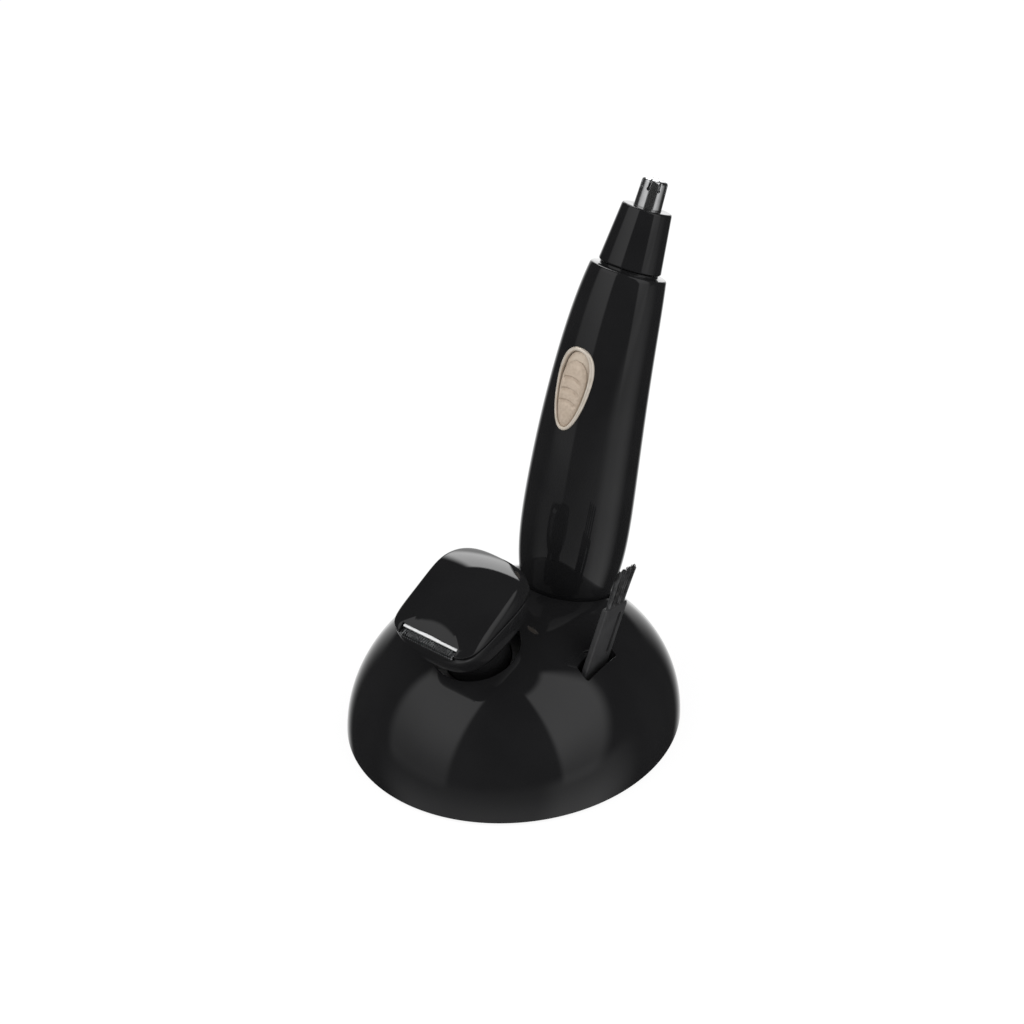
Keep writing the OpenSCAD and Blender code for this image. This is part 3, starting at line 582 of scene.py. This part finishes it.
boolean(deck, block("stem_slot", switch, (-1.2, -switch_r - 1, -8.2), (1.2, 3 - switch_r, -4.4 + SLIDE)))
shade(deck, 40)
finish_piece(deck, deck_gold, "trimmer", "champagne_satin", "switch_bezel")

# the slide: crowned, with three crescent grip grooves
KNOB_W, KNOB_L = 3.8, 9.1
KNOB_MID = KNOB_L - 10.55 + 0.05
GRIPS = (3.2, 0, -3.2)


def knob_height(xz, edge):
    """Height over the slide's face; edge runs from 0 on the outline to 1 well inside."""
    x, z = xz[:, 0], xz[:, 1]
    h = 0.62 - 0.7 * (1 - np.clip(edge * KNOB_W / 0.9, 0, 1)) ** 2.2
    for zc in GRIPS:
        s = z - (zc - 0.09 * (x + 0.3) ** 2)
        reach = 1 / (1 + np.exp((np.abs(x + 0.1) - 2.7) * 7))
        h = h - 0.6 * reach * np.where(s > 0, np.exp(-(s / 0.2) ** 2), np.exp(-(s / 0.75) ** 2))
    return h


rings = [on_front(egg(KNOB_W, KNOB_L, N_EGG, KNOB_MID), -0.4)]
STEPS = 90
for k in range(STEPS):
    f = (k / STEPS) ** 1.25
    o = egg(KNOB_W * (1 - f), KNOB_L * (1 - f), N_EGG, KNOB_MID)
    rings.append(on_front(o, knob_height(o, f)))
knob = loft("switch_slide_knob", rings)
stem = block("stem", switch, (-1, 1.1 - switch_r, -8), (1, 2.8 - switch_r, -4.6))
knob = joined("switch_thumb_slide", [knob, stem])
shade(knob, 40)
finish_piece(knob, knob_gold, "switch", "champagne_satin", "switch_knob")

# ---------- nose head ----------
CONE_TOP, TIP_H = 17.4, 7.9
profile = rounded([
    (8.25, 0.9, 0.15), (8.6, 1.25, 0.2), (6.86, CONE_TOP - 0.25, 0.35), (6.4, CONE_TOP, 0.25),
    (3.84, CONE_TOP, 0.1), (3.84, 16, 0), (5.25, 16, 0), (5.25, 13, 0), (3.84, 13, 0), (3.84, 10.2, 0),
    (5.6, 10.2, 0), (6.4, 5, 0), (6.55, 4.8, 0), (6.55, 0.9, 0)])
collar = lathe("nose_collar", top, profile, 160)
shade(collar, 30)
finish_piece(collar, gloss, "nose_head", "gloss_black", "nose_housing")

tip_top = CONE_TOP + TIP_H
profile = rounded([
    (4.9, 14.4, 0), (4.9, 15.1, 0), (3.8, 15.1, 0), (3.8, CONE_TOP + 0.4, 0.1), (3.52, tip_top, 0.95),
    (2.2, tip_top, 0.1), (0.35, tip_top, 0),
    (0.35, tip_top - 0.45, 0), (3.12, tip_top - 0.45, 0.55), (3.4, CONE_TOP, 0), (3.4, 14.4, 0)], 6)
tip = lathe("cutter_tip", top, profile, 192)
SLOTS, SLOT_TURN = 8, math.radians(7.5)
cuts = []
for k in range(SLOTS):
    a = 2 * math.pi * k / SLOTS + SLOT_TURN
    p = Place(top.o, top.z, top.x * math.cos(a) + top.y * math.sin(a))
    cuts.append(block("slot", p, (1.7, -0.3, tip_top - 2.6), (6, 0.3, tip_top + 2)))
boolean(tip, joined("slots", cuts))
cuts = []
for k in range(SLOTS):
    a = 2 * math.pi * k / SLOTS + SLOT_TURN
    out_dir = top.x * math.cos(a) + top.y * math.sin(a)
    cuts.append(cylinder("hole", Place(top.out([(0, 0, tip_top - 2.6)])[0], out_dir, top.z), 0.5, 2, 6, 24))
boolean(tip, joined("holes", cuts))
shade(tip, 30)
finish_piece(tip, steel, "nose_head", "bright_steel", "outer_cutter")

# ---------- spare head ----------
t_lo, t_hi = head.box("head_top_shell")
HEAD_X = (t_hi[0] - t_lo[0]) / 2
HEAD_Y = (t_hi[1] - head.box("head_lower_shell")[0][1]) / 2
HEAD_MID = t_hi[1] - HEAD_Y
SPLIT, RIM_LOW, BOWL_LOW = t_lo[2], t_lo[2] - 0.9, 2.0
CROWN = t_hi[2] - t_lo[2]
N_HEAD = 224
BACK_Q, FRONT_Q = 3.4, 5  # how square the outline is
HEAD_WALL = 1.5
BAY_X = 9.35


def outline(shrink, back_q, front_q):
    pts = []
    for k in range(N_HEAD):
        a = 2 * math.pi * k / N_HEAD
        q = back_q if a < math.pi else front_q
        pts.append(((HEAD_X - shrink) * bend(math.cos(a), q),
                    HEAD_MID + (HEAD_Y - shrink) * bend(math.sin(a), q)))
    return np.array(pts)


def pillow(shrink, z, back_q, front_q):
    return head.out(np.c_[outline(shrink, back_q, front_q), np.full(N_HEAD, z)])


ARCH_Y, CROWN_EDGE, CROWN_REACH = 6.6, 1.6, 13.2


def crown_height(xy, inset, edge):
    """The crown arches down to the back and falls away gently to the front and the sides."""
    x, y = xy[:, 0], xy[:, 1]
    ahead = np.maximum(ARCH_Y - y, 0)
    fall = np.where(y > ARCH_Y, 0.03 * (y - ARCH_Y) ** 2, 0.2 * (np.sqrt(ahead ** 2 + 9) - 3))
    return SPLIT + edge * (CROWN - inset - fall - 0.0105 * x * x)


def crown(name, inset, edge_steps, step, low_z=0.0):
    rings = [pillow(inset, SPLIT - low_z, BACK_Q, FRONT_Q)] if low_z else []
    for k in range(edge_steps + 1):
        a = math.pi / 2 * k / edge_steps
        xy = outline(inset + CROWN_EDGE * (1 - math.cos(a)), BACK_Q, FRONT_Q)
        rings.append(head.out(np.c_[xy, crown_height(xy, inset, math.sin(a))]))
    for shrink in np.arange(CROWN_EDGE + step, CROWN_REACH, step):
        xy = outline(inset + min(shrink, CROWN_REACH - inset), BACK_Q - 0.1 * shrink, FRONT_Q - 0.2 * shrink)
        rings.append(head.out(np.c_[xy, crown_height(xy, inset, 1)]))
    return loft(name, rings)


SCOOP_R, SCOOP_SLOPE = 83, math.radians(27)
scoop_up = head.z * math.cos(SCOOP_SLOPE) - head.y * math.sin(SCOOP_SLOPE)
scoop_way = head.y * math.cos(SCOOP_SLOPE) + head.z * math.sin(SCOOP_SLOPE)
scoop_axis = Place(head.out([(-0.3, -14.4, SPLIT + 0.8)])[0] + scoop_up * SCOOP_R, scoop_way, head.x)


def scoop(name, grow):
    return lathe(name, scoop_axis, [(SCOOP_R + grow, -30), (SCOOP_R + grow, 30)], 720, False)


hollow = crown("hollow", HEAD_WALL, 8, 0.6, 1.0)
boolean(hollow, scoop("scoop_wall", 1.3))
crown_shell = crown("head_crown", 0, 16, 0.3)
crown_skin = Skin(crown_shell)
boolean(crown_shell, hollow)
boolean(crown_shell, scoop("scoop_cut", 0))
# room for the blades: the window at the front, the open slot over it and the bay behind
for low_corner, high_corner in (
    ((-BAY_X, -30, SPLIT - 1.3), (BAY_X, -12.6, SPLIT + 1)),
    ((-BAY_X, -30, SPLIT - 0.5), (BAY_X, -14.2, SPLIT + 9.5)),
    ((-BAY_X, -15, SPLIT - 0.5), (BAY_X, -5, SPLIT + 0.95)),
):
    boolean(crown_shell, block("window", head, low_corner, high_corner))
for x in (-7, 7):
    boolean(crown_shell, cylinder("screw_room", head, 2, SPLIT - 0.5, SPLIT + 1.95, 48, at=(x, -7)))
shade(crown_shell, 30, [crown_skin])
finish_piece(crown_shell, gloss, "spare_head", "gloss_black", "head_top_shell")


# the clip over the blades: a folded strip whose front leans back to catch the light
c_lo, c_hi = head.box("blade_clip")
strip = [(c_lo[1], c_lo[2]), (c_hi[1], c_lo[2]), (c_hi[1], c_hi[2]), (c_lo[1] + 0.3, c_hi[2]),
         (c_lo[1] + 0.06, c_hi[2] - 0.13)]
clip = loft("blade_strip", [head.out([(x, y, z) for y, z in strip]) for x in (c_lo[0], c_hi[0])])
shade(clip, 50)
finish_piece(clip, bright, "spare_head", "bright_steel", "blade_clip")


def bowl_rings(inset, rows, lift=0.0):
    rings = []
    for k in range(rows + 1):
        f = k / rows
        z = BOWL_LOW + lift + (RIM_LOW - BOWL_LOW) * f
        rings.append(pillow(inset + 5 * (1 - f) ** 2.8, z, 2.2 + 1.2 * f, 2.2 + 2.8 * f))
    return rings


rings = bowl_rings(0, 40)
rings += [pillow(inset, z, BACK_Q, FRONT_Q) for inset, z in
          ((0.12, RIM_LOW + 0.12), (0.7, RIM_LOW + 0.14), (0.7, SPLIT - 0.05), (HEAD_WALL, SPLIT - 0.05))]
rings += bowl_rings(HEAD_WALL, 20, HEAD_WALL)[::-1]
inner = head.out(np.c_[circle(7.2, N_HEAD), np.full(N_HEAD, 3.5)])
neck = [head.out(np.c_[circle(r, N_HEAD), np.full(N_HEAD, z)]) for r, z in
        ((7.2, 3.5), (7.2, -NECK_LOW), (8.5, -NECK_LOW), (8.8, -NECK_LOW + 0.3), (8.8, BOWL_LOW))]
bowl = loft("head_bowl", rings + neck, wrap=True)
bowl_skin = Skin(bowl)
boolean(bowl, block("window", head, (-BAY_X, -30, SPLIT - 1.3), (BAY_X, -12.6, SPLIT + 1)))
shade(bowl, 30, [bowl_skin])
finish_piece(bowl, gloss, "spare_head", "gloss_black", "head_lower_shell")

# ---------- brush ----------
size = hi - lo
HANDLE_R, HANDLE_CUT = 0.3, 0.13
wide = rounded([(lo[1], lo[2], 1.2), (hi[1], lo[2], 1.2), (hi[1], hi[2], 0.7), (lo[1], hi[2], 0.7)], 6)
wide = np.array(wide)
mid2 = wide.mean(0)
rings = []
for x, shrink in ((lo[0], HANDLE_R), (lo[0] + HANDLE_CUT, HANDLE_CUT), (lo[0] + HANDLE_R, 0),
                  (hi[0] - HANDLE_R, 0), (hi[0] - HANDLE_CUT, HANDLE_CUT), (hi[0], HANDLE_R)):
    f = 1 - shrink / np.array([size[1] / 2, size[2] / 2])
    o = mid2 + (wide - mid2) * f
    rings.append(brush.out(np.c_[np.full(len(o), x), o]))
handle = loft("brush_grip", rings)
zero_z = hi[2] - 19.1
outline = rounded([(2.2, 3.5, 0.75), (3.8, 3.5, 0.75), (3.8, 16.4, 0.75), (2.2, 16.4, 0.75)], 6)
window = loft("loop_window", [brush.out([(x, brush_mid[1] + y, zero_z + z) for y, z in outline])
                              for x in (lo[0] - 2, hi[0] + 2)])
boolean(handle, window)
shade(handle, 30)
finish_piece(handle, grip_satin, "brush", "satin_black", "brush_handle")

rng = random.Random(7)
hair_top = brush.box("brush_bristles")[1][2]
TUFTS, PITCH, SIDES = 4, 2.5, 5
pts, faces = [], []
for t in range(TUFTS):
    yc = brush_mid[1] + (t - (TUFTS - 1) / 2) * PITCH
    for k in range(75):
        a, r = rng.uniform(0, 2 * math.pi), math.sqrt(rng.random())
        ux, uy = math.cos(a) * r, math.sin(a) * r
        x0, y0 = brush_mid[0] + 0.5 * ux, yc + 0.55 * uy
        length = hair_top - hi[2] - rng.random() ** 2 * 2.4 - 0.7 * r
        dx, dy = 0.25 * ux + rng.gauss(0, 0.08), 0.2 * uy + rng.gauss(0, 0.08)
        base = len(pts)
        for j in range(5):
            f = j / 4
            rad = 0.085 * (1 - 0.35 * f)
            cx, cy, cz = x0 + dx * f * f, y0 + dy * f * f, hi[2] - 0.6 + (length + 0.6) * f
            for s in range(SIDES):
                b = 2 * math.pi * s / SIDES
                pts.append((cx + rad * math.cos(b), cy + rad * math.sin(b), cz))
        faces += [tuple(base + i for i in f2) for f2 in loft_faces(5, SIDES)]
        faces += [tuple(base + s for s in range(SIDES)), tuple(base + 4 * SIDES + s for s in range(SIDES))]
bristles = make_object("brush_hair", make_mesh("brush_hair", brush.out(pts), faces))
shade(bristles, 60)
finish_piece(bristles, hair, "brush", "bristle_black", "brush_bristles")

# ---------- carried-over nodes ----------
finishes = {
    gloss: ["battery_cap"],
    satin: ["switch_slider"],
    dark_satin: ["base_plate"],
    rubber: ["rubber_feet", "cap_seal"],
    zinc: ["ballast_plate"],
    teeth_steel: ["comb_blade", "moving_blade"],
    plate: ["inner_cutter"],
    can: ["motor_can"],
    ferrite: ["motor_magnets"],
    steel: ["base_screws", "lever_pin", "head_screws", "head_spindle", "battery_spring", "cutter_spring",
            "positive_contact"],
    copper: ["armature"],
    nylon: ["inner_chassis", "motor_end_cap", "drive_coupler", "cutter_spindle", "blade_rail", "drive_lever"],
    bronze: ["nose_bush", "head_bush"],
    brass: ["contact_leaves"],
    jacket: ["battery"],
}
for mat, names in finishes.items():
    for name in names:
        mesh = nodes[name].data
        mesh.materials.clear()
        mesh.materials.append(mat)

# ---------- floor, camera and light ----------
AZIMUTH, ELEVATION, DISTANCE = math.radians(34), math.radians(35.9), 2000.0
AIM_RIGHT, AIM_UP = -0.56, 54.99
back = np.array([math.sin(AZIMUTH) * math.cos(ELEVATION), -math.cos(AZIMUTH) * math.cos(ELEVATION),
                 math.sin(ELEVATION)])
right = np.array([math.cos(AZIMUTH), math.sin(AZIMUTH), 0])
up = np.cross(back, right)
cam = bpy.data.cameras.new("camera")
cam.sensor_width = 36
cam.lens = 261.56
cam.clip_start, cam.clip_end = 0.1, 20
camera = bpy.data.objects.new("camera", cam)
bpy.context.scene.collection.objects.link(camera)
aim = right * AIM_RIGHT + up * AIM_UP + np.array([0, 0, foot_z])
camera.location = Vector((back * DISTANCE + aim) * MM)
camera.rotation_mode = "QUATERNION"
camera.rotation_quaternion = Vector(-back).to_track_quat("-Z", "Y")
bpy.context.scene.camera = camera

FLOOR_HALF, FLOOR_Z = 4000, -0.02
corners = [(x * FLOOR_HALF, y * FLOOR_HALF, FLOOR_Z) for x, y in ((-1, -1), (1, -1), (1, 1), (-1, 1))]
floor = make_object("floor", make_mesh("floor", corners, [(0, 1, 2, 3)]))
floor.visible_glossy = False
mat = bpy.data.materials.new("floor_white")
mat.use_nodes = True
g = Nodes(mat.node_tree)
out = g.add("ShaderNodeOutputMaterial")
mix = g.add("ShaderNodeMixShader")
glow = g.add("ShaderNodeEmission")
glow.inputs["Color"].default_value = (1, 1, 1, 1)
glow.inputs["Strength"].default_value = 1.03
matte = g.add("ShaderNodeBsdfDiffuse")
g.put(matte.inputs["Color"], g.tint(g.noise(3), (0.9, 0.9, 0.9), (0.94, 0.94, 0.94)))
mix.inputs[0].default_value = 0.12
g.put(mix.inputs[1], glow.outputs[0])
g.put(mix.inputs[2], matte.outputs[0])
g.put(out.inputs["Surface"], mix.outputs[0])
floor.data.materials.append(mat)

# two tall softboxes before the object, a white sweep behind it and a dim room between them
world_bg = bpy.data.worlds.new("studio")
bpy.context.scene.world = world_bg
world_bg.use_nodes = True
g = Nodes(world_bg.node_tree)
out = g.add("ShaderNodeOutputWorld")
look = g.add("ShaderNodeTexCoord").outputs["Generated"]
toward = g.dot(look, (math.sin(AZIMUTH), -math.cos(AZIMUTH), 0))
side = g.dot(look, (math.cos(AZIMUTH), math.sin(AZIMUTH), 0))
high = g.dot(look, (0, 0, 1))
DEG = 180 / math.pi
rel = g.math("MULTIPLY", g.math("ARCTAN2", side, toward), DEG)
el = g.math("MULTIPLY", g.math("ARCSINE", high), DEG)
away = g.math("ABSOLUTE", rel)
down = g.math("MULTIPLY", el, -1.0)
under45 = g.math("MAXIMUM", g.math("SUBTRACT", 45.0, el), 0.0)


def times(*terms):
    out_value = terms[0]
    for t in terms[1:]:
        out_value = g.math("MULTIPLY", out_value, t)
    return out_value


def flip(x):
    return g.math("SUBTRACT", 1.0, x)


over45 = g.math("MAXIMUM", g.math("SUBTRACT", el, 45.0), 0.0)
left_edge = g.math("SUBTRACT", rel, g.math("SUBTRACT", g.math("MULTIPLY", under45, 0.55), 116.0))
left_edge = g.math("SUBTRACT", left_edge, g.math("MULTIPLY", over45, 0.9))
left_box = times(g.smooth(left_edge, -4, 8), flip(g.smooth(rel, -41, -35)), flip(g.smooth(el, 69, 74)),
                 g.smooth(el, -10, 2), g.smooth(el, 0, 46, (0.3, 0.93)))
right_edge = g.math("ADD", rel, g.math("MULTIPLY", under45, 0.7))
right_box = times(g.smooth(rel, 38, 43), flip(g.smooth(right_edge, 92, 106)), flip(g.smooth(el, 69, 74)),
                  g.smooth(el, -10, 2), g.smooth(el, 0, 34, (0.52, 1.02)))
table = times(g.smooth(down, -4, 8), flip(g.smooth(away, 62, 100)), g.smooth(down, 0, 36, (0.1, 0.46)))
table_glow = times(g.smooth(down, -4, 6), g.smooth(rel, 22, 44), flip(g.smooth(rel, 58, 96)), 0.3)
floor_back = times(g.smooth(away, 140, 168), flip(g.smooth(el, -6, 2)), 1.05)
horizon = times(g.smooth(away, 162, 172), flip(g.smooth(el, -6, 2)), flip(g.smooth(down, 18, 34)), 0.95)
backdrop = times(g.smooth(away, 158, 168), g.smooth(el, -6, 2), flip(g.smooth(el, 18, 26)), 2.0)
back_light = times(g.smooth(away, 150, 163), g.smooth(el, 18, 26), flip(g.smooth(el, 47, 50)), 6.0)
total = 0.03
for part in (left_box, right_box, table, table_glow, floor_back, horizon, backdrop, back_light):
    total = g.math("ADD", total, part)
paths = g.add("ShaderNodeLightPath")
room = g.add("ShaderNodeBackground")
g.put(room.inputs["Strength"], total)
plain = g.add("ShaderNodeBackground")
plain.inputs["Strength"].default_value = 1.0
mix = g.add("ShaderNodeMixShader")
g.put(mix.inputs[0], paths.outputs["Is Glossy Ray"])
g.put(mix.inputs[1], plain.outputs[0])
g.put(mix.inputs[2], room.outputs[0])
g.put(out.inputs["Surface"], mix.outputs[0])


def softbox(name, rel_deg, el_deg, wide_m, tall_m, watts):
    a, e = AZIMUTH + math.radians(rel_deg), math.radians(el_deg)
    way = Vector((math.sin(a) * math.cos(e), -math.cos(a) * math.cos(e), math.sin(e)))
    light = bpy.data.lights.new(name, "AREA")
    light.shape = "RECTANGLE"
    light.size, light.size_y, light.energy = wide_m, tall_m, watts
    obj = bpy.data.objects.new(name, light)
    bpy.context.scene.collection.objects.link(obj)
    obj.location = Vector((0, 0, 0.06)) + way * 0.8
    obj.rotation_mode = "QUATERNION"
    obj.rotation_quaternion = way.to_track_quat("Z", "Y")
    obj.visible_glossy = False
    return obj


softbox("softbox_left", -75, 40, 0.8, 0.8, 3.0)
softbox("softbox_right", 65, 35, 0.8, 0.8, 3.0)
bpy.context.scene.view_settings.view_transform = "Standard"
